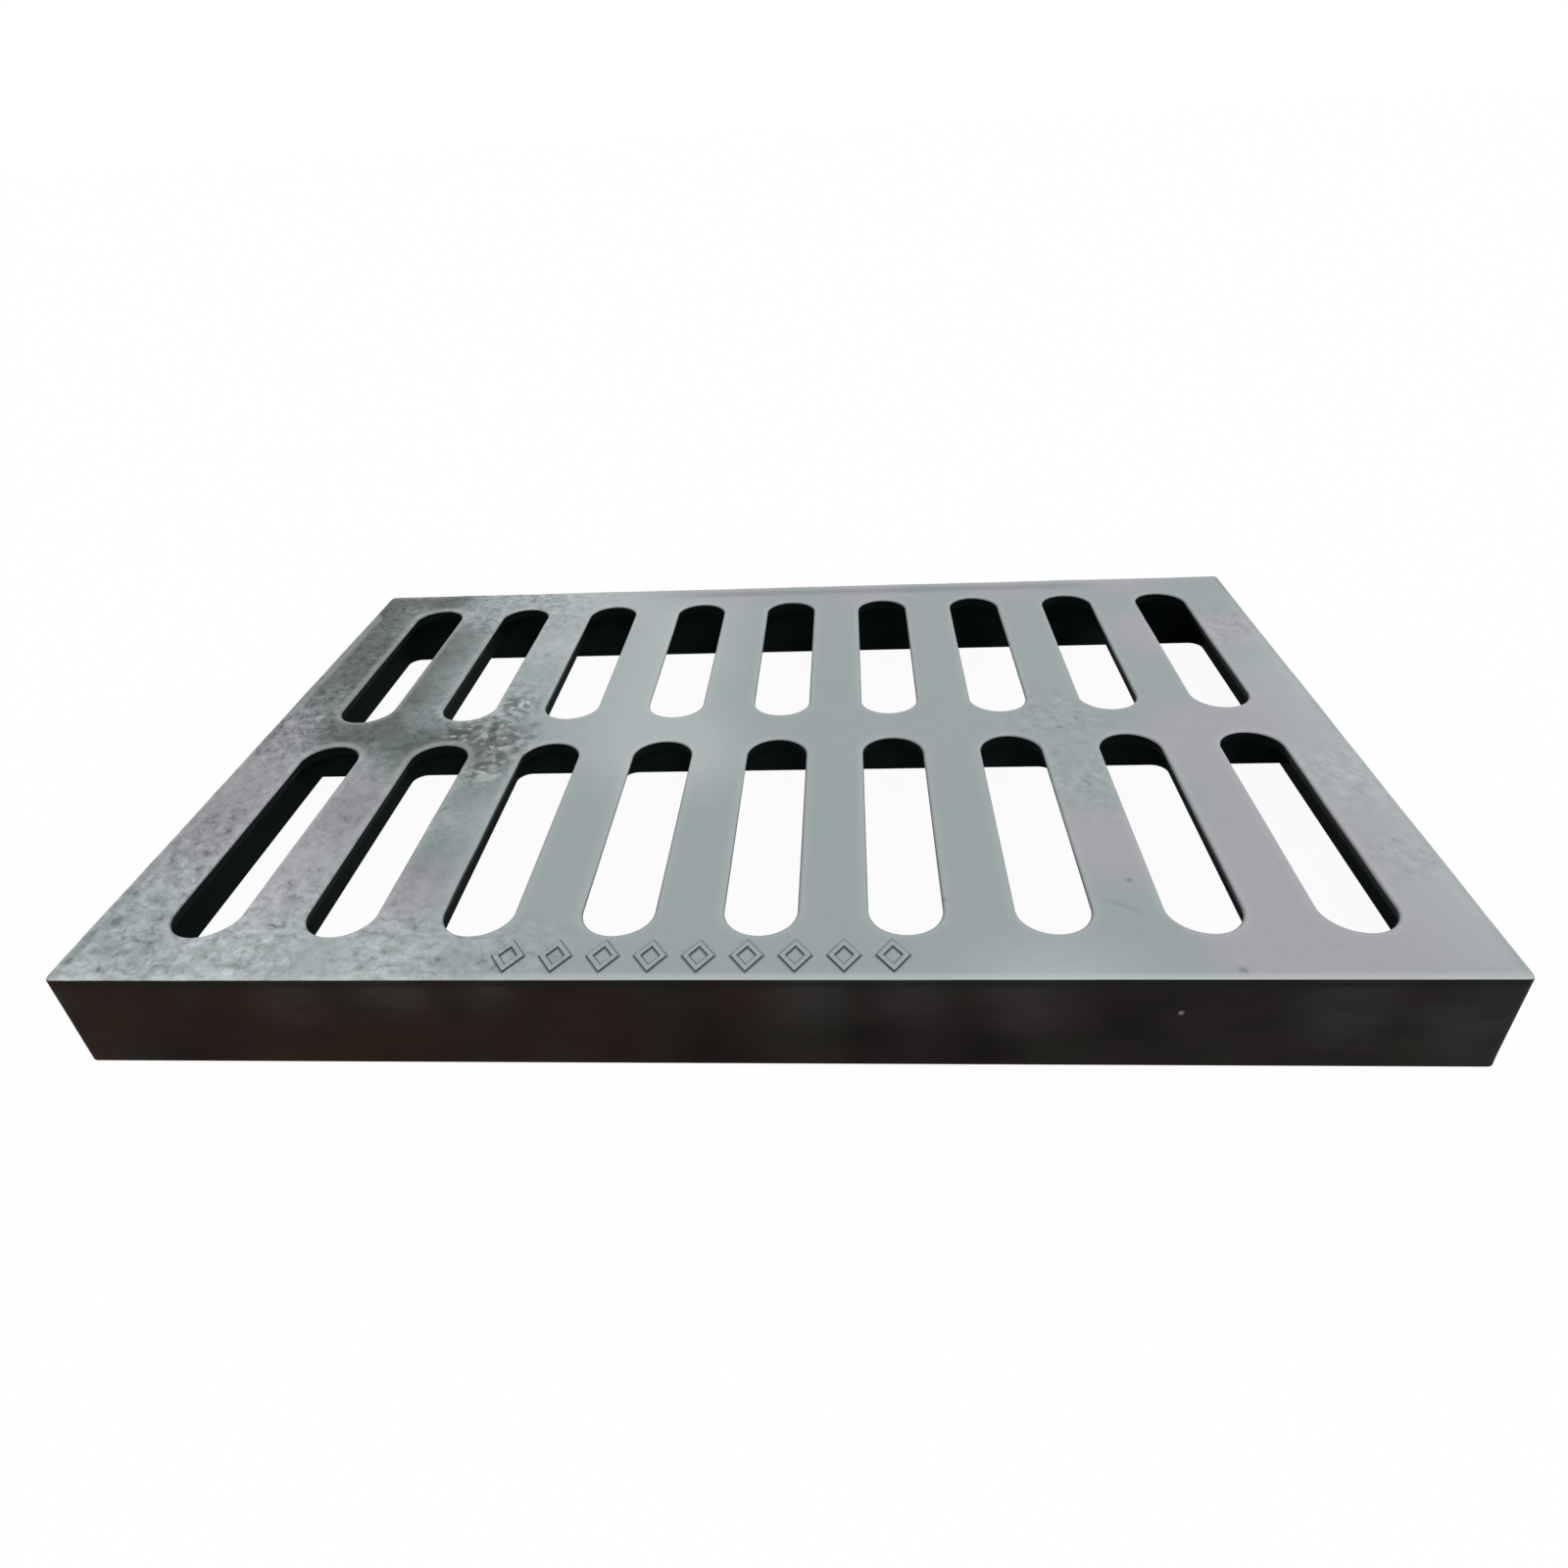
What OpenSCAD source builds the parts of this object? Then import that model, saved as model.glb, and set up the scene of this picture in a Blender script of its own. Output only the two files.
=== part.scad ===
// Slotted drain grate, cast as one piece of iron.
//
// A flat walking surface with two rows of round-ended slots stands on a deep rim, which
// seats in the grate's frame. Under the surface a lattice of ribs runs between the slots,
// one rib under each bar, so that every slot opens into a cell of its own. The walls of
// the cells and of the rim lean by one draft, so that the pattern lifts out of the mould.
//
// Millimetres. The origin is the centre of the seat, the plane of the rim's lower edge.
// X runs along the grate's length, Y along its width and +Z is up.

/* [Overall] */
// Length of the grate along X
grate_length = 600; // [520:10:800]
// Width of the grate along Y
grate_width = 400; // [340:10:600]
// Height from the seat to the walking surface
grate_height = 50; // [40:1:90]
// Radius of the four upright corners
corner_radius = 3; // [2:0.5:6]
// Rounding of the top edge all round the outside
edge_rounding = 1.5; // [0.5:0.25:2]

/* [Slots] */
// Number of slots in a row
slot_columns = 9; // [5:1:10]
// Number of rows of slots
slot_rows = 2; // [1:1:3]
// Width of a slot
slot_width = 32; // [18:1:34]
// Border between the outermost slots and the left and right edges
side_border = 34; // [25:1:50]
// Border between the slots' ends and the front and back edges
end_border = 27; // [20:0.5:45]
// Bar between the rows of slots
row_bar_width = 27; // [20:1:45]
// Rounding of a slot's lip
lip_rounding = 1.5; // [0.5:0.25:2.5]
// How far a slot's wall draws back under the lip
slot_flare = 3; // [1:0.5:5]

/* [Plate and ribs] */
// Thickness of the slotted plate
plate_thickness = 8; // [6:0.5:14]
// Depth of the ribs, from the walking surface to their lower edge
rib_depth = 28; // [20:1:34]
// Thickness of a rib at its lower edge
rib_thickness = 6; // [4:0.5:9]
// Thickness of the rim at its lower edge
rim_thickness = 5; // [3:0.5:8]
// Radius in the corners of the cells, at the ribs' lower edge
cell_radius = 8; // [5:0.5:12]
// Draft of the walls of the cells and the rim, in degrees
draft_angle = 4; // [1:0.5:5]

/* [Raised marks] */
// Number of lozenges in the row by the front edge
mark_count = 9; // [1:1:13]
// Width of a lozenge along X
mark_width = 14; // [8:0.5:16]
// Distance between the centres of two lozenges
mark_pitch = 20; // [16:0.5:24]
// Width of a lozenge's raised line
mark_line = 2.5; // [1.5:0.25:3]
// Height of the line above the walking surface
mark_height = 0.8; // [0.4:0.1:2]
// Clear distance from a lozenge to the front edge and to the slots
mark_clearance = 4; // [3:0.5:6]
// Centre of the row of lozenges, from the middle of the grate
mark_row_x = -24; // [-60:1:60]

/* [Hidden] */
$fn = 48;

// Cutters run this far past the faces that they open
overcut = 1;

// The slots and their bars share out what the borders leave
slot_length = (grate_width - 2 * end_border - (slot_rows - 1) * row_bar_width) / slot_rows;
bar_width = (grate_length - 2 * side_border - slot_columns * slot_width) / (slot_columns - 1);
slot_pitch_x = slot_width + bar_width;
slot_pitch_y = slot_length + row_bar_width;

plate_underside = grate_height - plate_thickness;
rib_foot = grate_height - rib_depth;

// Sideways step of a drafted wall for each millimetre of height
lean = tan(draft_angle);

mark_length = end_border - 2 * mark_clearance;
mark_row_y = (end_border - grate_width) / 2;

iron_grey = [0.60, 0.64, 0.63];

// Place of a slot's centre in its row, or of a row's centre among the rows
function slot_place(index, count, pitch) = (index - (count - 1) / 2) * pitch;

// Distance from the middle to the rim's inner face at a height, across one direction
function rim_face(span, height) = span / 2 - rim_thickness - height * lean;

// Distance from a rib's middle to its side at a height
function rib_face(height) = rib_thickness / 2 + (height - rib_foot) * lean;

// Radius in a corner of a cell or of the rim at a height
function inner_radius(height) = cell_radius - (height - rib_foot) * lean;

// The two sides of a cell across one direction: the rim at either end, a rib elsewhere
function cell_start(index, count, pitch, span, height) =
    index == 0
        ? -rim_face(span, height)
        : slot_place(index - 0.5, count, pitch) + rib_face(height);
function cell_end(index, count, pitch, span, height) =
    index == count - 1
        ? rim_face(span, height)
        : slot_place(index + 0.5, count, pitch) - rib_face(height);

// Outline from the middle to the outer face of a block whose upper edge is rounded
module rounded_edge_section(reach) {
    square([reach, grate_height - edge_rounding]);
    square([reach - edge_rounding, grate_height]);
    translate([reach - edge_rounding, grate_height - edge_rounding])
        intersection() {
            circle(edge_rounding);
            square(edge_rounding);
        }
}

// Block with rounded upper edges along its two long sides, over the given length
module rounded_bar(reach, length) {
    linear_extrude(length, center = true) {
        rounded_edge_section(reach);
        mirror([1, 0])
            rounded_edge_section(reach);
    }
}

// The grate's outer form, before anything is cut out of it
module blank() {
    rotate([90, 0, 0])
        rounded_bar(grate_length / 2, grate_width - 2 * corner_radius);
    rotate([90, 0, 90])
        rounded_bar(grate_width / 2, grate_length - 2 * corner_radius);
    for (side_x = [-1, 1], side_y = [-1, 1])
        translate([
            side_x * (grate_length / 2 - corner_radius),
            side_y * (grate_width / 2 - corner_radius),
            0
        ])
            rotate_extrude()
                rounded_edge_section(corner_radius);
}

// Section of a drafted pocket that closes in as it rises
module tapering_section(span, rise) {
    polygon([
        [-span / 2, 0],
        [span / 2, 0],
        [span / 2 - rise * lean, rise],
        [-span / 2 + rise * lean, rise]
    ]);
}

// Drafted pocket with rounded corners; length, width and radius are those of its mouth
module drafted_pocket(length, width, radius, rise) {
    straight_x = length - 2 * radius;
    straight_y = width - 2 * radius;
    rotate([90, 0, 0])
        linear_extrude(straight_y, center = true)
            tapering_section(length, rise);
    rotate([90, 0, 90])
        linear_extrude(straight_x, center = true)
            tapering_section(width, rise);
    for (side_x = [-1, 1], side_y = [-1, 1])
        translate([side_x * straight_x / 2, side_y * straight_y / 2, 0])
            cylinder(h = rise, r1 = radius, r2 = radius - rise * lean);
}

// The open space inside the rim, from the seat up to the ribs' lower edge
module pan() {
    mouth = -overcut;
    translate([0, 0, mouth])
        drafted_pocket(
            2 * rim_face(grate_length, mouth),
            2 * rim_face(grate_width, mouth),
            inner_radius(mouth),
            rib_foot - mouth
        );
}

// The cell between the ribs that one slot opens into; it starts inside the pan
module cell(column, row) {
    mouth = rib_foot - overcut;
    left = cell_start(column, slot_columns, slot_pitch_x, grate_length, mouth);
    right = cell_end(column, slot_columns, slot_pitch_x, grate_length, mouth);
    front = cell_start(row, slot_rows, slot_pitch_y, grate_width, mouth);
    back = cell_end(row, slot_rows, slot_pitch_y, grate_width, mouth);
    translate([(left + right) / 2, (front + back) / 2, mouth])
        drafted_pocket(
            right - left,
            back - front,
            inner_radius(mouth),
            plate_underside - mouth
        );
}

// Half of a slot's cross-section, from its middle line to one wall, with the rounded lip
module half_slot_section() {
    wall = slot_width / 2;
    lip_foot = grate_height - lip_rounding;
    polygon([
        [0, plate_underside - overcut],
        [wall + slot_flare, plate_underside - overcut],
        [wall + slot_flare, plate_underside],
        [wall, lip_foot],
        [wall, grate_height + overcut],
        [0, grate_height + overcut]
    ]);
    difference() {
        translate([wall, lip_foot])
            square([lip_rounding, lip_rounding + overcut]);
        translate([wall + lip_rounding, lip_foot])
            circle(lip_rounding);
    }
}

// One slot: the section drawn along the straight part and turned round both ends
module slot() {
    straight = slot_length - slot_width;
    rotate([90, 0, 0])
        linear_extrude(straight, center = true) {
            half_slot_section();
            mirror([1, 0])
                half_slot_section();
        }
    for (side = [-1, 1])
        translate([0, side * straight / 2, 0])
            rotate_extrude()
                half_slot_section();
}

// Plain lozenge, centred on the origin
module lozenge(width, length) {
    polygon([
        [-width / 2, 0],
        [0, -length / 2],
        [width / 2, 0],
        [0, length / 2]
    ]);
}

// Outline of a lozenge drawn with a line of even width
module lozenge_ring() {
    // A line of this width takes this share off both diagonals
    slope_length = norm([mark_width, mark_length]);
    share = 1 - 2 * mark_line * slope_length / (mark_width * mark_length);
    difference() {
        lozenge(mark_width, mark_length);
        lozenge(mark_width * share, mark_length * share);
    }
}

// Row of raised lozenges in the front border
module marks() {
    for (index = [0 : mark_count - 1])
        translate([
            mark_row_x + slot_place(index, mark_count, mark_pitch),
            mark_row_y,
            grate_height - overcut
        ])
            linear_extrude(mark_height + overcut)
                lozenge_ring();
}

// The whole casting
module grate() {
    color(iron_grey) {
        difference() {
            blank();
            pan();
            for (column = [0 : slot_columns - 1], row = [0 : slot_rows - 1]) {
                cell(column, row);
                translate([
                    slot_place(column, slot_columns, slot_pitch_x),
                    slot_place(row, slot_rows, slot_pitch_y),
                    0
                ])
                    slot();
            }
        }
        marks();
    }
}

grate();
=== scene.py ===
"""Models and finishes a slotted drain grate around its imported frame.

The grate is one casting. A quarter of it is modelled as a pattern maker would cut it: a block
with rounded edges, a pan under it with a cell above for every slot, and the slots with their
rounded lips. The quarter is mirrored twice, the raised lozenges are joined on, and the cast
skin gets its swells and pebbles. Lengths are in metres and angles in radians.
"""

import math

import bmesh
import bpy
from bpy.props import FloatProperty, FloatVectorProperty, IntProperty, PointerProperty
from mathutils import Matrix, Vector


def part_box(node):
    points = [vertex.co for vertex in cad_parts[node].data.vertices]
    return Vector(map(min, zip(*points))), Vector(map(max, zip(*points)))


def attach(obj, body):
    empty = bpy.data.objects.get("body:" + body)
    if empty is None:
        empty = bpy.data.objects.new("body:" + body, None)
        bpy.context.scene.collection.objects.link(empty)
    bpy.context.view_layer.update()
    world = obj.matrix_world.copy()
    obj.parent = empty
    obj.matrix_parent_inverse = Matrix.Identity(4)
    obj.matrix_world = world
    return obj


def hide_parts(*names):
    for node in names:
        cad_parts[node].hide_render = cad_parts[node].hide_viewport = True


bl_info = {
    "name": "Drain grate",
    "version": (1, 0, 0),
    "blender": (4, 5, 0),
    "location": "View3D > Sidebar > Drain grate",
    "description": "Models and finishes a slotted cast drain grate",
    "category": "Object",
}

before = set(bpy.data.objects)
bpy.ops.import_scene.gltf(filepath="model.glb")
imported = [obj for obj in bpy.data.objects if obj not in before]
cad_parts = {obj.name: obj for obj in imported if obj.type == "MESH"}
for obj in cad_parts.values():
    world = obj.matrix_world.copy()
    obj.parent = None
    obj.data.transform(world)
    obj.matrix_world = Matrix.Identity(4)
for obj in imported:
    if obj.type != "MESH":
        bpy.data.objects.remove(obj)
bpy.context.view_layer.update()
GRATE_LOW, GRATE_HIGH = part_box("grate")
CASTING = "grate_casting"
MM = 0.001

# Steps of a rounding, from the corners of the cells to the lozenges' raised lines
CORNER_STEPS = 6
EDGE_STEPS = 4
ROOT_STEPS = 3
LINE_STEPS = 2
# Steps round a turned slot and up its lip
SLOT_STEPS = 48
LIP_STEPS = 5
# A face looks along an axis where its normal has this much of it
FACING = 0.9
# Edges that turn by more than this stay sharp
SHARP = math.radians(40)


def length(name, description, millimetres):
    """A size that is shown as a length, with its default in millimetres."""
    metres = millimetres * MM
    kind = {"unit": "LENGTH", "subtype": "DISTANCE", "precision": 5}
    return FloatProperty(name=name, description=description, default=metres, **kind)


def angle(name, description, degrees):
    """An angle, with its default in degrees."""
    kind = {"unit": "ROTATION", "subtype": "ANGLE"}
    return FloatProperty(
        name=name, description=description, default=math.radians(degrees), **kind
    )


def position(name, description, metres):
    """A place in the frame."""
    return FloatVectorProperty(
        name=name, description=description, default=metres, unit="LENGTH", subtype="TRANSLATION"
    )


def turn(name, description, degrees):
    """A turn about X, Y and Z, with its default in degrees."""
    radians = [math.radians(part) for part in degrees]
    kind = {"unit": "ROTATION", "subtype": "EULER"}
    return FloatVectorProperty(name=name, description=description, default=radians, **kind)


def colour(name, description, value):
    """A linear colour."""
    return FloatVectorProperty(
        name=name, description=description, default=value, subtype="COLOR", min=0.0, max=1.0
    )


def share(name, description, value):
    """A number from 0 to 1."""
    return FloatProperty(
        name=name, description=description, default=value, min=0.0, max=1.0, subtype="FACTOR"
    )


class GrateSizes(bpy.types.PropertyGroup):
    """The casting's sizes."""

    columns: IntProperty(name="Slots in a row", description="Number of slots in a row", default=9)
    slot_width: length("Slot width", "Width of a slot", 32)
    side_border: length("Side border", "Border left and right of the slots", 34)
    end_border: length("End border", "Border before and behind the slots", 27)
    row_bar: length("Row bar", "Bar between the two rows of slots", 27)
    lip: length("Lip rounding", "Rounding of a slot's lip", 1.5)
    flare: length("Slot flare", "How far a slot's wall draws back under the lip", 3)
    plate: length("Plate", "Thickness of the slotted plate", 8)
    rib_depth: length("Rib depth", "From the walking surface to a rib's lower edge", 28)
    rib: length("Rib", "Thickness of a rib at its lower edge", 6)
    rim: length("Rim", "Thickness of the rim at its lower edge", 5)
    cell_radius: length("Cell corners", "Radius in the corners of the cells", 8)
    root_radius: length("Roots", "Rounding where a cell's walls meet the plate", 2.5)
    corner_radius: length("Corners", "Radius of the upright corners", 3)
    edge_radius: length("Top edge", "Rounding of the top edge", 1.5)
    foot_radius: length("Foot", "Rounding of the rim's lower edge outside", 0.8)
    draft: angle("Draft", "Lean of the walls under the plate", 4)


class MarkSizes(bpy.types.PropertyGroup):
    """The sizes of the raised lozenges in the front border."""

    count: IntProperty(name="Lozenges", description="Number of lozenges in the row", default=9)
    width: length("Width", "Width of a lozenge along the row", 14)
    depth: length("Depth", "Size of a lozenge across the row", 19)
    pitch: length("Pitch", "Distance between the middles of two lozenges", 20)
    line: length("Line", "Width of the raised line", 2.5)
    height: length("Height", "Height of the line above the walking surface", 0.8)
    rounding: length("Rounding", "Rounding of the line's upper edges", 0.35)
    row_x: length("Row", "Middle of the row, from the middle of the grate", -24)


class SkinSizes(bpy.types.PropertyGroup):
    """The relief of the cast skin."""

    swell_size: length("Swell size", "Size of the broad swells", 45)
    swell_depth: length("Swell depth", "Depth of the broad swells", 0.5)
    pebble_size: length("Pebble size", "Size of the pebbles", 4.2)
    pebble_depth: length("Pebble depth", "Depth of the pebbles", 0.5)
    pebble_edge: length("Pebble edge", "Where the pebbled end gives way to smooth skin", -120)
    pebble_fade: length("Pebble fade", "Length over which the pebbles die out", 70)
    coarse_step: length("Coarse step", "Grid of the skin's mesh where it is smooth", 6)
    fine_step: length("Fine step", "Grid of the skin's mesh where it may be pebbled", 1.8)


def walking_height():
    """Height of the walking surface, which the raised marks stand on."""
    return GRATE_HIGH.z - bpy.context.scene.grate_marks.height


class Grate:
    """The sizes that follow from the settings and from the frame's box."""

    def __init__(self, sizes):
        self.half_length = GRATE_HIGH.x
        self.half_width = GRATE_HIGH.y
        self.top = walking_height()
        self.underside = self.top - sizes.plate
        self.rib_foot = self.top - sizes.rib_depth
        self.lean = math.tan(sizes.draft)
        slots_x = 2 * (self.half_length - sizes.side_border)
        self.pitch = (slots_x - sizes.slot_width) / (sizes.columns - 1)
        self.slot_length = self.half_width - sizes.end_border - sizes.row_bar / 2
        self.slot_y = (self.slot_length + sizes.row_bar) / 2
        self.rim = sizes.rim
        # The quarter's block runs past the middle, where it is cut off, and its pan still further
        self.block_spill = 8 * sizes.rim
        self.pan_spill = 12 * sizes.rim

    def rim_face(self, reach, height):
        """Distance from the middle to the rim's inner face at a height."""
        return reach - self.rim - height * self.lean


def deselect():
    """Leaves object mode with nothing selected."""
    if bpy.context.object and bpy.context.object.mode != "OBJECT":
        bpy.ops.object.mode_set(mode="OBJECT")
    bpy.ops.object.select_all(action="DESELECT")


def pick(*objects):
    """Selects these objects alone, the first one active."""
    deselect()
    for item in objects:
        item.select_set(True)
    bpy.context.view_layer.objects.active = objects[0]


def enter(piece):
    """Opens a piece in edit mode with nothing selected."""
    pick(piece)
    bpy.ops.object.mode_set(mode="EDIT")
    bpy.ops.mesh.select_mode(type="FACE")
    bpy.ops.mesh.select_all(action="DESELECT")


def leave():
    """Closes edit mode."""
    bpy.ops.object.mode_set(mode="OBJECT")


def select(piece, kind, test):
    """Selects, in edit mode, the shown vertices, edges or faces that pass a test.

    The test gets a vertex's place, the places of an edge's two ends, or a face's middle and
    its normal.
    """
    bpy.ops.mesh.select_mode(type=kind)
    bpy.ops.mesh.select_all(action="DESELECT")
    mesh = bmesh.from_edit_mesh(piece.data)
    if kind == "VERT":
        items = [(vert, (vert.co,)) for vert in mesh.verts]
    elif kind == "EDGE":
        items = [(edge, (edge.verts[0].co, edge.verts[1].co)) for edge in mesh.edges]
    else:
        items = [(face, (face.calc_center_median(), face.normal)) for face in mesh.faces]
    for item, facts in items:
        item.select = not item.hide and test(*facts)
    mesh.select_flush_mode()
    bmesh.update_edit_mesh(piece.data)


def near(value, target, slack=1e-5):
    """True where a length equals another, but for rounding."""
    return abs(value - target) < slack


def both(test):
    """A test that both ends of an edge have to pass."""
    return lambda a, b: test(a) and test(b)


def hide(piece, test):
    """Hides, in edit mode, the faces that pass a test."""
    select(piece, "FACE", test)
    bpy.ops.mesh.hide(unselected=False)


def round_edges(piece, test, radius, steps):
    """Rounds, in edit mode, the edges that pass a test."""
    select(piece, "EDGE", test)
    bpy.ops.mesh.bevel(offset=radius, segments=steps, affect="EDGES")


def face_outwards():
    """Turns, in edit mode, all faces of a closed mesh outwards."""
    bpy.ops.mesh.select_all(action="SELECT")
    bpy.ops.mesh.normals_make_consistent(inside=False)


def apply_place(piece):
    """Moves an object's place, turn and size into its mesh."""
    pick(piece)
    bpy.ops.object.transform_apply(location=True, rotation=True, scale=True)


def apply_modifier(piece, modifier):
    """Applies one modifier."""
    pick(piece)
    bpy.ops.object.modifier_apply(modifier=modifier.name)


def add_block(name, low, high):
    """A box between two corners, with its place in its mesh."""
    deselect()
    bpy.ops.mesh.primitive_cube_add(size=1)
    block = bpy.context.object
    block.name = name
    block.scale = [high[axis] - low[axis] for axis in range(3)]
    block.location = [(high[axis] + low[axis]) / 2 for axis in range(3)]
    apply_place(block)
    return block


def cut_grid(axis, low, high, step):
    """Cuts all that is shown across one axis, at even steps of about this size."""
    count = max(1, round((high - low) / step))
    normal = [float(index == axis) for index in range(3)]
    for index in range(count + 1):
        cut = [0.0, 0.0, 0.0]
        cut[axis] = low + (high - low) * index / count
        bpy.ops.mesh.select_all(action="SELECT")
        bpy.ops.mesh.bisect(plane_co=cut, plane_no=normal)


def model_block(sizes, skin, grate):
    """The quarter's solid block: rounded edges, and a grid on its skin for the relief."""
    past = -grate.block_spill
    far = (grate.half_length, grate.half_width)

    def along_rim(height):
        """A test for the edges at one height, but for those of the two sides at the middle."""

        def test(a, b):
            cut_off = any(near(a[axis], past) and near(b[axis], past) for axis in (0, 1))
            return near(a.z, height) and near(b.z, height) and not cut_off

        return test

    block = add_block("block", (past, past, 0), (*far, grate.top))
    enter(block)
    at_corner = both(lambda co: near(co.x, far[0]) and near(co.y, far[1]))
    round_edges(block, at_corner, sizes.corner_radius, EDGE_STEPS)
    round_edges(block, along_rim(grate.top), sizes.edge_radius, EDGE_STEPS)
    round_edges(block, along_rim(0), sizes.foot_radius, EDGE_STEPS)
    # The two sides at the middle and the seat get no relief and need no grid
    hide(block, lambda middle, normal: min(normal) < -FACING)
    flat_x, flat_y = [reach - sizes.corner_radius for reach in far]
    # The pebbles are at the left end, and the quarter is mirrored onto it
    fine_from = -skin.pebble_edge - skin.pebble_fade / 3
    cut_grid(0, 0, fine_from, skin.coarse_step)
    cut_grid(1, 0, flat_y, skin.coarse_step)
    cut_grid(2, sizes.foot_radius, grate.top - sizes.edge_radius, skin.coarse_step)
    hide(block, lambda middle, normal: middle.x < fine_from)
    cut_grid(0, fine_from, flat_x, skin.fine_step)
    cut_grid(1, 0, flat_y, skin.fine_step)
    bpy.ops.mesh.reveal(select=False)
    leave()
    return block


def model_pan(sizes, grate):
    """The room inside the rim, from below the seat up to the ribs' lower edge."""
    below = sizes.rim
    past = -grate.pan_spill
    far = [grate.rim_face(reach, -below) for reach in (grate.half_length, grate.half_width)]
    pan = add_block("pan", (past, past, -below), (*far, grate.rib_foot))
    enter(pan)
    at_corner = both(lambda co: near(co.x, far[0]) and near(co.y, far[1]))
    round_edges(pan, at_corner, sizes.cell_radius + below * grate.lean, CORNER_STEPS)
    step_in = (grate.rib_foot + below) * grate.lean
    for axis in (0, 1):
        select(pan, "VERT", lambda co: near(co.z, grate.rib_foot) and co[axis] > 0)
        move = [0.0, 0.0, 0.0]
        move[axis] = -step_in
        bpy.ops.transform.translate(value=move)
    leave()
    return pan


def model_cell(sizes, grate, column):
    """The cell between the ribs that one slot opens into; it starts inside the pan."""
    overlap = MM
    mouth = grate.rib_foot - overlap
    rib_face = sizes.rib / 2 - overlap * grate.lean
    # A hair of room keeps the cell's outer walls off the pan's, so that the cuts share no face
    hair = MM / 10
    left = (column - 0.5) * grate.pitch + rib_face
    right = (column + 0.5) * grate.pitch - rib_face
    if column == sizes.columns // 2:
        right = grate.rim_face(grate.half_length, mouth) - hair
    back = grate.rim_face(grate.half_width, mouth) - hair
    cell = add_block("cell", (left, rib_face, mouth), (right, back, grate.underside))

    def at_plate(co):
        """True where the cell ends, at the plate."""
        return near(co.z, grate.underside)

    enter(cell)
    round_edges(cell, lambda a, b: not near(a.z, b.z), sizes.cell_radius, CORNER_STEPS)
    select(cell, "VERT", at_plate)
    step_in = (grate.underside - mouth) * grate.lean
    sides = (right - left, back - rib_face)
    bpy.ops.transform.resize(
        value=(*[1 - 2 * step_in / side for side in sides], 1),
        center_override=((left + right) / 2, (rib_face + back) / 2, grate.underside),
    )
    round_edges(cell, both(at_plate), sizes.root_radius, ROOT_STEPS)
    leave()
    return cell


def slot_profile(sizes, grate):
    """Radius and height up a slot's wall, from the plate's underside to above the lip."""
    wall = sizes.slot_width / 2
    profile = [(wall + sizes.flare, grate.underside), (wall, grate.top - sizes.lip)]
    for index in range(1, LIP_STEPS + 1):
        bend = math.radians(90) * index / LIP_STEPS
        radius = wall + sizes.lip * (1 - math.cos(bend))
        profile.append((radius, grate.top - sizes.lip * (1 - math.sin(bend))))
    profile.append((wall + sizes.lip, grate.top + sizes.lip))
    return profile


def model_slot(sizes, skin, grate, column):
    """One slot to be cut out: a turned profile, pulled apart to the slot's length."""
    radius = sizes.slot_width / 2 + sizes.flare
    height = grate.underside - 2 * sizes.root_radius
    deselect()
    bpy.ops.mesh.primitive_circle_add(
        vertices=SLOT_STEPS, radius=radius, fill_type="NGON", location=(0, 0, height)
    )
    slot = bpy.context.object
    slot.name = "slot"
    apply_place(slot)
    enter(slot)
    bpy.ops.mesh.select_all(action="SELECT")
    # Half a step of turn, so that no vertex stands on the line where the ends are pulled apart
    half_step = math.pi / SLOT_STEPS
    bpy.ops.transform.rotate(value=half_step, orient_axis="Z", center_override=(0, 0, 0))
    for new_radius, new_height in slot_profile(sizes, grate):
        bpy.ops.mesh.extrude_region_move(
            TRANSFORM_OT_translate={"value": (0, 0, new_height - height)}
        )
        ratio = new_radius / radius
        bpy.ops.transform.resize(value=(ratio, ratio, 1), center_override=(0, 0, new_height))
        radius, height = new_radius, new_height
    straight = grate.slot_length - sizes.slot_width
    for side in (-1, 1):
        select(slot, "VERT", lambda co: co.y * side > 0)
        bpy.ops.transform.translate(value=(0, side * straight / 2, 0))
    select(slot, "EDGE", lambda a, b: a.y * b.y < 0 and near(a.x, b.x) and near(a.z, b.z))
    bpy.ops.mesh.subdivide(number_cuts=round(straight / skin.coarse_step))
    face_outwards()
    leave()
    slot.location = (column * grate.pitch, grate.slot_y, 0)
    apply_place(slot)
    return slot


def joined(pieces):
    """Joins several objects into the first."""
    pick(*pieces)
    bpy.ops.object.join()
    return bpy.context.object


def combine(piece, other, operation):
    """Cuts one closed mesh out of another, or unites the two, and deletes the second."""
    boolean = piece.modifiers.new("combine", "BOOLEAN")
    boolean.operation = operation
    boolean.solver = "EXACT"
    boolean.object = other
    apply_modifier(piece, boolean)
    bpy.data.objects.remove(other)


def check_closed(piece):
    """Raises an error where a mesh has an open or doubled edge."""
    mesh = bmesh.new()
    mesh.from_mesh(piece.data)
    faults = sum(not edge.is_manifold for edge in mesh.edges)
    volume = mesh.calc_volume(signed=True)
    mesh.free()
    if faults or volume <= 0:
        raise RuntimeError(f"{piece.name} isn't closed: {faults} edges, volume {volume}")


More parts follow.
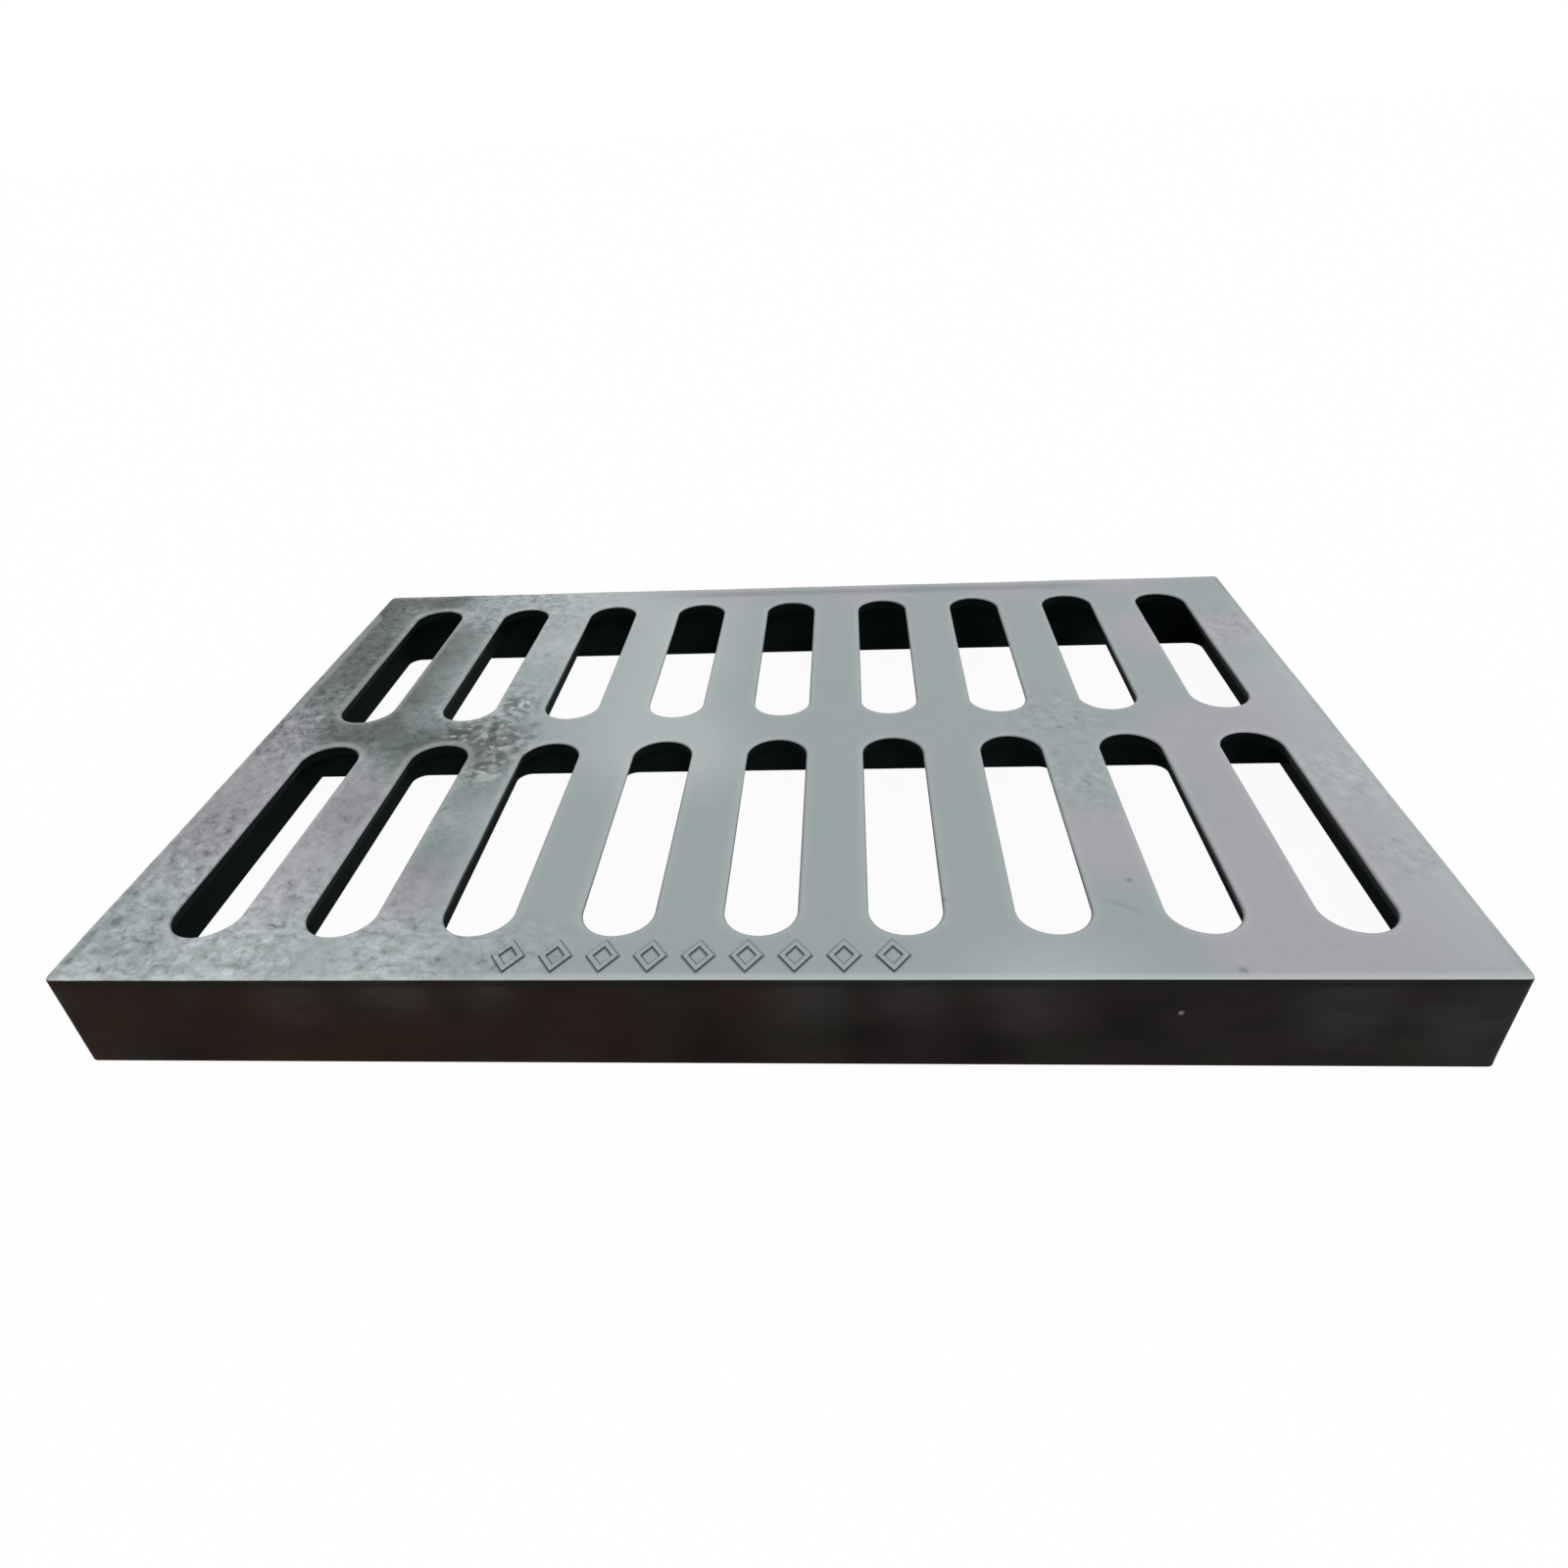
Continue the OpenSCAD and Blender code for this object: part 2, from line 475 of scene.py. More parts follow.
def model_casting(sizes, skin):
    """The whole casting, with a plain skin and no marks."""
    grate = Grate(sizes)
    columns = range(sizes.columns // 2 + 1)
    quarter = model_block(sizes, skin, grate)
    combine(quarter, model_pan(sizes, grate), "DIFFERENCE")
    cells = [model_cell(sizes, grate, column) for column in columns]
    combine(quarter, joined(cells), "DIFFERENCE")
    slots = [model_slot(sizes, skin, grate, column) for column in columns]
    combine(quarter, joined(slots), "DIFFERENCE")
    enter(quarter)
    for normal in ((1, 0, 0), (0, 1, 0)):
        bpy.ops.mesh.select_all(action="SELECT")
        bpy.ops.mesh.bisect(plane_co=(0, 0, 0), plane_no=normal, clear_inner=True)
    leave()
    mirror = quarter.modifiers.new("mirror", "MIRROR")
    mirror.use_axis = (True, True, False)
    mirror.merge_threshold = MM / 100
    apply_modifier(quarter, mirror)
    enter(quarter)
    face_outwards()
    leave()
    quarter.name = CASTING
    check_closed(quarter)
    return quarter


def model_marks(sizes, marks):
    """The row of raised lozenges, each one a ring whose foot is sunk in the plate."""
    sunk = sizes.plate / 4
    deselect()
    bpy.ops.mesh.primitive_circle_add(vertices=4, radius=0.5, fill_type="NGON")
    mark = bpy.context.object
    mark.name = "mark"
    mark.scale = (marks.width, marks.depth, 1)
    mark.location = (0, 0, walking_height() - sunk)
    apply_place(mark)
    enter(mark)
    bpy.ops.mesh.select_all(action="SELECT")
    bpy.ops.mesh.inset(thickness=marks.line)
    bpy.ops.mesh.delete(type="FACE")
    bpy.ops.mesh.select_all(action="SELECT")
    bpy.ops.mesh.extrude_region_move(
        TRANSFORM_OT_translate={"value": (0, 0, marks.height + sunk)}
    )
    face_outwards()
    select(mark, "FACE", lambda middle, normal: normal.z > FACING)
    bpy.ops.mesh.region_to_loop()
    bpy.ops.mesh.bevel(offset=marks.rounding, segments=LINE_STEPS, affect="EDGES")
    leave()
    row_y = -GRATE_HIGH.y + sizes.end_border / 2
    row = []
    for index in range(marks.count):
        pick(mark)
        bpy.ops.object.duplicate()
        copy = bpy.context.object
        copy.location = (marks.row_x + (index - (marks.count - 1) / 2) * marks.pitch, row_y, 0)
        apply_place(copy)
        row.append(copy)
    bpy.data.objects.remove(mark)
    return joined(row)


def weigh(piece, name, weight):
    """Gives a vertex group the weight that a function finds for each vertex's place."""
    group = piece.vertex_groups.new(name=name)
    for vert in piece.data.vertices:
        group.add([vert.index], weight(vert.co), "REPLACE")
    return group.name


def press_clouds(piece, name, size, depth, weight):
    """Presses a pattern of clouds into a piece's skin, inwards only."""
    clouds = bpy.data.textures.new(name, "CLOUDS")
    clouds.noise_scale = size
    clouds.noise_depth = 1
    press = piece.modifiers.new(name, "DISPLACE")
    press.texture = clouds
    press.texture_coords = "LOCAL"
    press.mid_level = 1
    press.strength = depth
    press.vertex_group = weigh(piece, name, weight)
    apply_modifier(piece, press)
    bpy.data.textures.remove(clouds)


def ease(value, start, end):
    """0 before the start, 1 past the end and a smooth step between them."""
    part = min(1.0, max(0.0, (value - start) / (end - start)))
    return part * part * (3 - 2 * part)


def roughen(piece, sizes, skin):
    """Gives the walking surface and the outer sides the relief of a sand casting."""
    grate = Grate(sizes)
    # Outside the clusters the pebbles have this share of their depth
    shallow = 0.4

    def on_top(co):
        """1 on the walking surface, its lips and its marks."""
        return ease(co.z, grate.top - sizes.lip, grate.top - sizes.lip / 2)

    def on_side(co):
        """1 on the outer sides, clear of the seat."""
        outside = max(abs(co.x) - grate.half_length, abs(co.y) - grate.half_width)
        return ease(outside, -sizes.rim / 2, 0) * ease(co.z, 0, 3 * sizes.foot_radius)

    def pebbled(co):
        """1 in the clusters and less on the rest of the walking surface's pebbled end."""
        away = min(math.hypot(co.x - x * MM, co.y - y * MM) / (r * MM) for x, y, r in CLUSTERS)
        end = shallow * ease(co.x, skin.pebble_edge, skin.pebble_edge - skin.pebble_fade)
        return on_top(co) * max(end, ease(away, 1, 0))

    press_clouds(
        piece, "swells", skin.swell_size, skin.swell_depth, lambda co: max(on_top(co), on_side(co))
    )
    press_clouds(piece, "pebbles", skin.pebble_size, skin.pebble_depth, pebbled)
    pick(piece)
    bpy.ops.object.shade_smooth_by_angle(angle=SHARP)


def arithmetic(operation, swapped=False):
    """A Python operator that adds a Math node."""

    def method(self, other):
        pair = (other, self) if swapped else (self, other)
        return self.graph.node("ShaderNodeMath", {"operation": operation}, dict(enumerate(pair)))

    return method


class Link:
    """A node's output. The operators on a number that varies add Math nodes."""

    def __init__(self, graph, socket):
        self.graph = graph
        self.socket = socket

    __add__ = arithmetic("ADD")
    __radd__ = arithmetic("ADD", swapped=True)
    __sub__ = arithmetic("SUBTRACT")
    __rsub__ = arithmetic("SUBTRACT", swapped=True)
    __mul__ = arithmetic("MULTIPLY")
    __rmul__ = arithmetic("MULTIPLY", swapped=True)
    __pow__ = arithmetic("POWER")
    bigger = arithmetic("MAXIMUM")
    smaller = arithmetic("MINIMUM")
    folded = arithmetic("PINGPONG")

    def size(self):
        """The number without its sign."""
        return self.bigger(self * -1)

    def between(self, low, high):
        """The number, but no less than one value and no more than the other."""
        return self.bigger(low).smaller(high)

    def remainder(self, pitch):
        """Distance, either way, from the nearest multiple of a pitch."""
        return self.folded(pitch / 2)


class Graph:
    """The nodes of one material or world."""

    def __init__(self, owner):
        owner.use_nodes = True
        self.tree = owner.node_tree
        self.tree.nodes.clear()

    def node(self, kind, settings=(), sockets=(), output=0):
        """Adds a node: its settings first, then the values or links of its sockets."""
        item = self.tree.nodes.new(kind)
        for name, value in dict(settings).items():
            setattr(item, name, value)
        for name, value in dict(sockets).items():
            if isinstance(value, Link):
                self.tree.links.new(value.socket, item.inputs[name])
            else:
                item.inputs[name].default_value = value
        return Link(self, item.outputs[output]) if item.outputs else None

    def vector(self, operation, sockets, output=0):
        """Adds a Vector Math node."""
        return self.node("ShaderNodeVectorMath", {"operation": operation}, sockets, output)

    def blend(self, mask, below, above):
        """A colour that goes from one to another as the mask goes from 0 to 1."""
        # Where a Mix node has its sockets for colours, among those for other values
        first, second, result = 6, 7, 2
        sockets = {0: mask}
        for index, tint in ((first, below), (second, above)):
            sockets[index] = tint if isinstance(tint, Link) else (*tint, 1.0)
        return self.node("ShaderNodeMix", {"data_type": "RGBA"}, sockets, result)

    def step(self, value, low, high):
        """A smooth step from 0 at one value to 1 at the other, which may be the lower one."""
        sockets = {"Value": value, "From Min": low, "From Max": high}
        return self.node("ShaderNodeMapRange", {"interpolation_type": "SMOOTHSTEP"}, sockets)

    def band(self, value, middle, reach, core):
        """1 within the core of a band about one value, and 0 beyond its reach."""
        return self.step((value - middle).size(), reach, core)

    def noise(self, place, size, detail=2.0, roughness=0.5, distortion=0.0, output=0):
        """Soft noise from 0 to 1 with features of about this size."""
        sockets = {"Vector": place, "Scale": 1 / size, "Detail": detail}
        sockets.update({"Roughness": roughness, "Distortion": distortion})
        return self.node("ShaderNodeTexNoise", {}, sockets, output)

    def wobbled(self, place, size, reach):
        """A place pushed about by soft noise, so that a pattern on it runs unevenly."""
        push = self.noise(place, size, output="Color")
        return self.vector("MULTIPLY_ADD", {0: push, 1: (reach, reach, 0), 2: place})

    def turned(self, place, degrees, stretch, middle=(0, 0)):
        """A place for a pattern that is stretched, turned about Z and set on a middle."""
        sockets = {"Vector": place, "Location": (*middle, 0), "Scale": (*stretch, 1)}
        sockets["Rotation"] = (0, 0, math.radians(degrees))
        return self.node("ShaderNodeMapping", {"vector_type": "TEXTURE"}, sockets)

    def leaning(self, place, degrees, stretch):
        """A place for a pattern that is drawn out along Y and then turned about Z."""
        return self.turned(place, degrees, (1, stretch))

    def scaled(self, vector, factor):
        """A colour or a place times a number."""
        return self.vector("SCALE", {0: vector, "Scale": factor})

    def spot(self, place, middle, radius):
        """A soft round spot, 1 in its middle."""
        return self.step(self.vector("DISTANCE", {0: place, 1: middle}, "Value"), radius, 0)

    def streak(self, place, middle, degrees, long, wide):
        """A soft drawn-out spot, 1 in its core, that leans this much from X."""
        rim, core = 1, 0.2
        inside = self.turned(place, degrees, (long / 2, wide / 2), middle)
        return self.step(self.vector("LENGTH", {0: inside}, "Value"), rim, core)

    def from_dot(self, place, spacing):
        """Distance from the nearest of many strewn dots, as a share of their spacing."""
        sockets = {"Vector": place, "Scale": 1 / spacing}
        return self.node(
            "ShaderNodeTexVoronoi", {"voronoi_dimensions": "2D"}, sockets, "Distance"
        )

    def dots(self, place, spacing, radius):
        """Round dots, 1 in their cores, strewn about this far apart."""
        rim = radius / spacing
        core = 0.4 * rim
        return self.step(self.from_dot(place, spacing), rim, core)

    def creases(self, place, size, breadth):
        """Thin wandering lines, 1 along their middles, where soft noise crosses its mean."""
        return self.band(self.noise(place, size, detail=1), 0.5, breadth, 0)

    def parts(self, vector):
        """The X, Y and Z of a vector."""
        apart = self.node("ShaderNodeSeparateXYZ", sockets={0: vector})
        return [Link(self, socket) for socket in apart.socket.node.outputs]


class GrateColours(bpy.types.PropertyGroup):
    """The colours of the cast skin."""

    # The walking surface's greys are partly its dust and wear, partly painted sheen of a bright sky
    green_grey: colour("Green grey", "Walking surface, cooler patches", (0.302, 0.353, 0.352))
    purple_grey: colour("Purple grey", "Walking surface, warmer patches", (0.364, 0.356, 0.383))
    pale_grey: colour("Pale grey", "Walking surface, palest patches", (0.392, 0.442, 0.44))
    dull_grey: colour("Dull grey", "Walking surface, dullest patches", (0.083, 0.102, 0.1))
    pit: colour("Pit", "Pits and specks in the walking surface", (0.03, 0.04, 0.04))
    # Partly wear, partly painted highlight: the pale of the lips and the near edge, and of the
    # clusters' crests and dots
    pale_wear_and_highlight: colour("Worn", "Worn edges and crests", (0.56, 0.59, 0.585))
    wall: colour("Wall", "Walls of the slots and the cells", (0.005, 0.0085, 0.0083))
    underside: colour("Underside", "Faces that look down", (0.03, 0.027, 0.025))
    side_brown: colour("Side brown", "Outer sides at the left end", (0.0160, 0.0070, 0.0043))
    side_green: colour("Side green", "Outer sides, cooler patches", (0.0115, 0.0125, 0.0085))
    side_grey: colour("Side grey", "Outer sides at the right end", (0.0120, 0.0093, 0.0094))
    side_pale: colour("Side pale", "Dusty patches of the outer sides", (0.036, 0.033, 0.033))
    chip: colour("Chip", "Chips in the outer sides", (0.2, 0.2, 0.19))


class GrateWearAndLight(bpy.types.PropertyGroup):
    """How strongly the marks of wear and dirt show, and the painted highlights, glints and shade
    among them.
    """

    # Painted highlight, partly wear: the pale lips and near edge stand partly for light caught by
    # their roundings
    lips: share("Lips", "Wear of the lips", 0.13)
    dull_lips: share("Dull lips", "More wear of the lips where dull", 0.17)
    near_edge: share("Near edge", "Wear of the near edge", 0.32)
    near_gaps: share("Near gaps", "Less wear in the near edge's gaps", 0.24)
    far_edge: share("Far edge", "Wear of the far edge", 0.14)
    # Painted glints, partly wear: the clusters' pale crests and dots
    crests: share("Crests", "Wear of the clusters' crests", 0.55)
    dots: share("Dots", "Wear of the clusters' dots", 0.35)
    flecks: share("Flecks", "Single pale flecks", 0.35)
    pale_streaks: share("Pale streaks", "Single pale streaks", 0.12)
    # Darker along the left and right edges and in the far border's middle
    left_darkening: share("Left grime", "Grime along the left edge", 0.25)
    right_darkening: share("Right grime", "Grime along the right edge", 0.1)
    far_darkening: share("Far grime", "Grime of the far border", 0.23)
    shade: share("Shade", "Dullness of the shaded patches", 0.4)
    # Painted shade, partly real pits: the clusters' dark pits
    pits: share("Pits", "Pits of the clusters", 0.7)
    # Painted shade in the relief's hollows: the grain's pocks
    pocks: share("Pocks", "Pocks of the grain", 0.35)
    specks: share("Specks", "Single dark specks", 0.4)
    scratches: share("Scratches", "Dark scratches", 0.14)
    # Partly dirt, partly painted shadow along the lozenges' feet
    outlines: share("Outlines", "Dirt along the lozenges' feet", 0.6)
    damp: share("Damp", "Greenish patches of the sides", 0.55)
    soot: share("Soot", "Sooty patches of the near side", 0.45)
    dust: share("Dust", "Dusty patches of the near side", 0.42)
    # Painted shade: a dark band on the sides just below the top edge
    painted_edge_shade: share("Under edge", "Dirt of the sides below the top edge", 0.6)


# Patches of the walking surface: the place of each middle, and the radius, in millimetres
PURPLE_PATCHES = (
    (-285, -70, 110), (-225, -85, 60), (-295, 10, 45), (-235, -150, 50), (-170, -145, 45),
    (-270, 205, 35), (-40, 205, 60), (50, 200, 60), (150, 205, 60), (285, 110, 45),
    (280, -170, 60), (230, 205, 55), (285, -60, 110), (225, -130, 80), (235, -20, 70),
    (235, 110, 58), (155, -110, 50), (290, 25, 60), (215, -190, 60),
)
PALE_PATCHES = (
    (-140, 185, 70), (-150, 110, 42), (-75, 145, 75), (-75, 75, 75), (-75, 5, 75), (-55, -35, 60),
    (-225, -185, 52), (-160, -192, 42), (-290, -215, 45), (330, 50, 95), (330, -50, 110),
    (330, -160, 95), (120, -215, 60),
)
SHADED_PATCHES = (
    (-222, 140, 35), (-215, -75, 50), (-285, -85, 60), (-170, -120, 50), (-160, -60, 35),
    (-288, -8, 65),
)
DULL_PATCHES = (
    (-300, 190, 70), (-300, 125, 75), (-300, 65, 75), (-240, 100, 60), (-236, 40, 52),
    (-205, -15, 48), (-168, -15, 42), (-248, 2, 38), (-250, 194, 34),
)
GRAINY_PATCHES = (
    (155, 10, 45), (155, -60, 50), (285, -60, 45), (285, -122, 28), (285, 120, 50),
    (-140, -182, 45), (-108, -187, 42), (-280, 5, 40), (-285, 50, 45), (-285, 105, 45),
    (-285, 160, 45),
)
SMOOTH_PATCHES = (
    (-283, -55, 40), (-218, -60, 50), (-218, -115, 55), (-185, -187, 35), (-156, -75, 45),
    (-156, -120, 40), (-218, 60, 50), (-218, 115, 50), (-156, 75, 50), (-156, 120, 50),
)
CLUSTERS = (
    (-168, 2, 26), (-152, -16, 26), (-160, 30, 24), (-158, -42, 22), (-184, -3, 15),
)
SPECKS = (
    (79, -151, 2.6), (192, -195, 3.2), (161, -139, 2.6), (154, -6, 3.2), (165, 3, 2.4),
    (-290, -163, 4.5), (-157, 97, 4.5), (-213, 140, 4), (-167, -77, 3.5), (-142, 6, 5),
    (-152, -8, 5), (-150, -28, 5.5), (-161, 18, 5), (-184, -2, 6),
)
FLECKS = (
    (159, 24, 4.5), (-160, 88, 4.5), (-219, 144, 4), (-292, 14, 6), (-277, 20, 4.5), (-172, 0, 5),
    (-150, -19, 5), (-160, -3, 4), (-155, -38, 4),
)
# Streaks of the walking surface: the place of each middle, its lean from X in degrees, its
# length and its width
SCRATCHES = ((155, -156.5, -33, 28, 5),)
PALE_STREAKS = (
    (286, -61, 61, 50, 7), (155, -56, 63, 58, 7),
)
# Patches of the near side: the place of each middle along X and Z, and the radius
DUSTY_PATCHES = (
    (-195, 38, 26), (-150, 43, 28), (-112, 45, 22), (22, 40, 28), (62, 42, 26), (112, 40, 34),
    (232, 34, 30), (285, 24, 34),
)
SOOTY_PATCHES = (
    (-20, 14, 30), (42, 20, 26), (92, 14, 30), (152, 26, 26), (-250, 10, 40),
)
SIDE_CHIPS = ((170, 31, 1.7),)


class Skin:
    """The masks and the colours of the casting's finish. Its lengths are in millimetres."""

    def __init__(self, graph, scene):
        self.graph = graph
        self.scene = scene
        self.colours = scene.grate_colours
        self.wear = scene.grate_wear
        self.top = walking_height() / MM
        metres = graph.node("ShaderNodeTexCoord", output="Object")
        self.place = graph.scaled(metres, 1 / MM)
        self.x, self.y, self.z = graph.parts(self.place)
        self.flat = graph.node("ShaderNodeCombineXYZ", sockets={"X": self.x, "Y": self.y})
        self.up = graph.parts(graph.node("ShaderNodeNewGeometry", output="Normal"))[2]
        inset_x = self.x.size() - GRATE_HIGH.x / MM
        inset_y = self.y.size() - GRATE_HIGH.y / MM
        self.outside = inset_x.bigger(inset_y)
        self.mottle = graph.noise(self.place, size=38, detail=3)
        self.cloud = graph.noise(self.flat, size=30, detail=3) - 0.5
        self.cluster = self.spots(CLUSTERS).smaller(1)
        self.grain_depth = self.find_grain_depth()
        self.grain = self.find_grain()

    def spots(self, patches):
        """Soft round spots of the walking surface, which add up where they meet."""
        return sum(self.graph.spot(self.flat, (x, y, 0), radius) for x, y, radius in patches)

    def side_spots(self, patches):
        """Soft round spots of the near side, which add up where they meet."""
        near_y = GRATE_LOW.y / MM
        return sum(self.graph.spot(self.place, (x, near_y, z), radius) for x, z, radius in patches)

    def streaks(self, marks):
        """Soft drawn-out spots of the walking surface."""
        streak = self.graph.streak
        return sum(streak(self.flat, (x, y), *shape) for x, y, *shape in marks).smaller(1)

    def on_top(self):
        """1 on the walking surface and the marks, 0 on the walls and the sides."""
        facing_up = self.graph.step(self.up, 0.3, 0.75)
        return facing_up * self.graph.step(self.z, self.top - 2, self.top - 1)

    def find_grain_depth(self):
        """How strong the grain is: 1 at the pebbled end, a trace at the smooth one."""
        skin = self.scene.grate_skin
        trace, smoothed, grainy, clustered = 0.05, 0.6, 0.45, 0.6
        # The pebbled end's edge is pushed about by this much, and starts this much early
        wander, lead = 60, 12
        edge = skin.pebble_edge / MM
        ragged = self.x + wander * (self.graph.noise(self.flat, size=55, detail=3) - 0.5)
        pebbled = self.graph.step(ragged, edge + lead, edge - skin.pebble_fade / MM)
        pebbled = pebbled * (1 - smoothed * self.spots(SMOOTH_PATCHES).smaller(1))
        depth = trace + (1 - trace) * pebbled + grainy * self.spots(GRAINY_PATCHES)
        return depth + clustered * self.cluster

    def find_grain(self):
        """The grain, about 0: leaning strokes, drawn out along the near border, and creases."""
        graph = self.graph
        strokes = graph.leaning(self.flat, degrees=30, stretch=1.5)
        strokes = graph.noise(strokes, size=6, detail=3, roughness=0.68)
        border = graph.leaning(self.flat, degrees=80, stretch=1.6)
        border = graph.noise(border, size=5.6, detail=3, roughness=0.68, distortion=0.5)
        near_border = graph.step(self.y, -145, -165)
        clouds = strokes * (1 - near_border) + border * near_border - 0.5
        uneven = graph.leaning(self.flat, degrees=50, stretch=1.5)
        uneven = graph.wobbled(uneven, size=6, reach=9)
        # The distance from a dot, about its mean
        pebbles = 0.42 - graph.from_dot(uneven, spacing=4)
        creases = graph.leaning(self.flat, degrees=35, stretch=1.5)
        creases = graph.creases(creases, size=5, breadth=0.12)
        creases = creases * graph.step(graph.noise(self.flat, size=8), 0.35, 0.6)
        cloud_share, pebble_share, crease_share, lift = 0.8, 0.14, 0.12, 0.03
        return cloud_share * clouds + pebble_share * pebbles + lift - crease_share * creases

    def from_slot(self):
        """Distance from the wall of the nearest slot, at the walking surface."""
        sizes = self.scene.grate_sizes
        grate = Grate(sizes)
        straight = (grate.slot_length - sizes.slot_width) / MM
        across = self.x.remainder(grate.pitch / MM)
        along = (self.y.size() - grate.slot_y / MM).size() - straight / 2
        along = along.bigger(0)
        return (across * across + along * along) ** 0.5 - sizes.slot_width / MM / 2

    def edges(self, dull):
        """How pale the slots' lips and the near and far edges are: partly wear, and on the lips and
        the near edge partly painted highlight.
        """
        step, wear = self.graph.step, self.wear
        near_y, far_y = GRATE_LOW.y / MM, GRATE_HIGH.y / MM
        # Painted highlight, partly wear: the lips are paler, and more so where dull
        lips = step(self.from_slot(), 5.5, 1.2) * (wear.lips + wear.dull_lips * dull)
        gaps = step(self.graph.noise(self.flat, size=9, detail=1), 0.42, 0.6)
        gaps = gaps * step(self.x, -90, -150)
        # Painted highlight, partly wear: a pale line along the near edge
        near_rim = step(self.y, near_y + 5, near_y + 1.8)
        near_rim = near_rim * (wear.near_edge - wear.near_gaps * gaps)
        far_rim = step(self.y, far_y - 8, far_y - 1) * wear.far_edge
        return lips.bigger(near_rim).bigger(far_rim)

    def edge_darkening(self):
        """How much darker the left and right edges and the far border's middle are."""
        step, band, wear = self.graph.step, self.graph.band, self.wear
        left_x, right_x, far_y = GRATE_LOW.x / MM, GRATE_HIGH.x / MM, GRATE_HIGH.y / MM
        left = band(self.x, left_x + 4, reach=3.6, core=0.5) * wear.left_darkening
        right = step(self.x, right_x - 6, right_x - 1) * wear.right_darkening
        far = band(self.y, far_y - 11, reach=8, core=1) * wear.far_darkening
        far = far * step(self.x, -110, -50) * step(self.x, 240, 160)
        return left.bigger(right).bigger(far)

    def outlines(self):
        """1 in the dark lines along the feet of the raised lozenges: partly dirt, partly painted
        shadow.
        """
        graph = self.graph
        marks = self.scene.grate_marks
        sizes = self.scene.grate_sizes
        width, depth, pitch = marks.width / MM, marks.depth / MM, marks.pitch / MM
        from_row = self.x - marks.row_x / MM
        across = (from_row + pitch * (marks.count - 1) / 2).remainder(pitch)
        along = self.y + (GRATE_HIGH.y - sizes.end_border / 2) / MM
        # How far out a point lies in its lozenge, and where the raised line has its two feet
        outwards = across * (2 / width) + along.size() * (2 / depth)
        outer_foot = 1
        inner_foot = 1 - 2 * marks.line / MM * math.hypot(width, depth) / (width * depth)
        off, reach, core = 0.03, 0.11, 0.03
        outer = graph.band(outwards, outer_foot + off, reach, core)
        inner = graph.band(outwards, inner_foot - off, reach, core)
        row_reach = marks.count * pitch / 2
        in_row = graph.step(from_row.size(), row_reach + 0.1, row_reach)
        return outer.bigger(inner) * in_row

    def dullness(self):
        """How dull the walking surface is, more unevenly so where it is grainy."""
        ragged = 0.05 + 0.25 * self.grain_depth.smaller(1)
        dull = self.spots(DULL_PATCHES) + self.wear.shade * self.spots(SHADED_PATCHES)
        return (dull + ragged * self.cloud).between(0, 0.95)

    def pits(self, stains, depth):
        """How dark the pits of the clusters, the grain's pocks and the single marks are; the pits
        and pocks are partly painted shade.
        """
        step, wear = self.graph.step, self.wear
        # Painted shade, partly real pits: the clusters' dark pits
        pits = step(stains, 0.5, 0.42) * self.cluster * wear.pits
        # Painted shade: pocks darken where the grain, which also sets the relief's height, is
        # lowest
        pocks = step(self.grain, -0.14, -0.26) * depth * wear.pocks
        specks = self.spots(SPECKS).smaller(1) * wear.specks
        scratches = self.streaks(SCRATCHES) * wear.scratches
        return pits.bigger(pocks).bigger(specks.bigger(scratches))

    def crests(self, stains):
        """How pale the crests and dots of the clusters and the single pale marks are; the clusters'
        crests and dots are partly wear, partly painted glints.
        """
        graph, wear = self.graph, self.wear
        # Painted glints, partly wear: the clusters' pale crests and dots
        crests = graph.step(stains, 0.57, 0.67) * wear.crests
        dots = graph.dots(self.flat, spacing=8, radius=2.4) * wear.dots
        flecks = self.spots(FLECKS).smaller(1) * wear.flecks
        streaks = self.streaks(PALE_STREAKS) * wear.pale_streaks
        return (crests.bigger(dots) * self.cluster).bigger(flecks.bigger(streaks))

    def walked_colour(self):
        """The greys of the walking surface."""
        graph, colours = self.graph, self.colours
        # How far the clouds push the patches' edges about
        purple_cloud, pale_cloud = 0.5 * self.cloud, 0.3 * self.cloud
        purple = graph.step(self.spots(PURPLE_PATCHES) + purple_cloud, 0.1, 0.9)
        tint = graph.blend(purple, colours.green_grey, colours.purple_grey)
        pale = (self.spots(PALE_PATCHES) + pale_cloud).between(0, 1)
        tint = graph.blend(pale, tint, colours.pale_grey)
        dull = self.dullness()
        tint = graph.blend(dull, tint, colours.dull_grey)
        depth = self.grain_depth.smaller(1.4)
        contrast = 2.1
        # The grain tints as it lifts the relief, tops lighter and hollows and creases darker:
        # partly the skin's tone, partly painted light and shade
        grain = 1 + contrast * depth * self.grain
        tint = graph.scaled(tint, grain * (1 - self.edge_darkening()))
        stains = graph.leaning(self.flat, degrees=50, stretch=1.3)
        stains = graph.noise(stains, size=7, detail=1.5, roughness=0.6, distortion=0.8)
        tint = graph.blend(self.pits(stains, depth), tint, colours.pit)
        tint = graph.blend(self.crests(stains), tint, colours.pale_wear_and_highlight)
        # Dark lines at the lozenges' feet: partly dirt, partly painted shadow
        tint = graph.blend(self.outlines() * self.wear.outlines, tint, colours.pit)
        # Pale lips and edges: partly wear, partly painted highlight
        return graph.blend(self.edges(dull), tint, colours.pale_wear_and_highlight)

    def side_colour(self):
        """The browns and greys of the outer sides."""
        graph, colours, wear = self.graph, self.colours, self.wear
